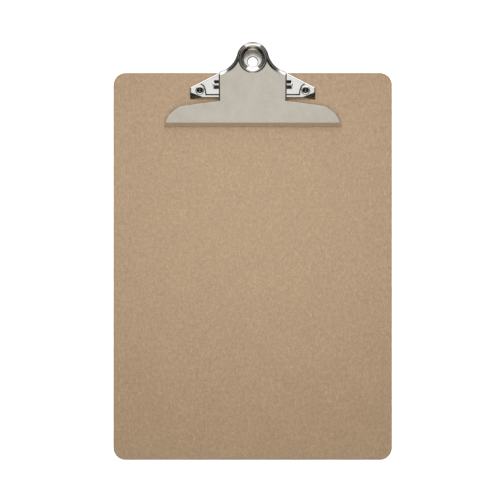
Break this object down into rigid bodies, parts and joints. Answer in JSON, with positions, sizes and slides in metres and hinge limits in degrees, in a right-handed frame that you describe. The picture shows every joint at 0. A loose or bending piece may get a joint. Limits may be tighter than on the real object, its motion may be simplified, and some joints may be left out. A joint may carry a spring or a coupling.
{
  "type": "clipboard",
  "caption": "Rectangular hardboard clipboard with a sprung lever clip at its top edge that holds a stack of paper and opens when its head is pressed.",
  "frame": {"origin": "middle of the board's flat back face", "axes": "+Y along the board's length towards the clip, +X across its width, +Z out of the writing face"},
  "size_m": [0.2286, 0.3404, 0.0228],
  "materials": {
    "hardboard": "matt pressed brown hardboard",
    "clip_steel": "bright nickel plate",
    "rivet_steel": "bright nickel plate",
    "pin_steel": "drawn bright wire",
    "spring_steel": "oiled spring wire"
  },
  "bodies": {
    "base": {"board": "hardboard", "base_plate": "clip_steel", "hinge_pin": "pin_steel", "rivet_left": "rivet_steel", "rivet_right": "rivet_steel", "spring_left": "spring_steel", "spring_right": "spring_steel"},
    "jaw": {"lever": "clip_steel"}
  },
  "joints": [
    {"name": "lever_hinge", "type": "hinge", "parent": "base", "child": "jaw", "pos_m": [0, 0.1481, 0.0095], "axis": [-1, 0, 0], "range_deg": [0, 20], "stiffness_Nm_per_rad": 0.25, "springref_deg": -80.21, "deforming": ["spring_left", "spring_right"]}
  ]
}
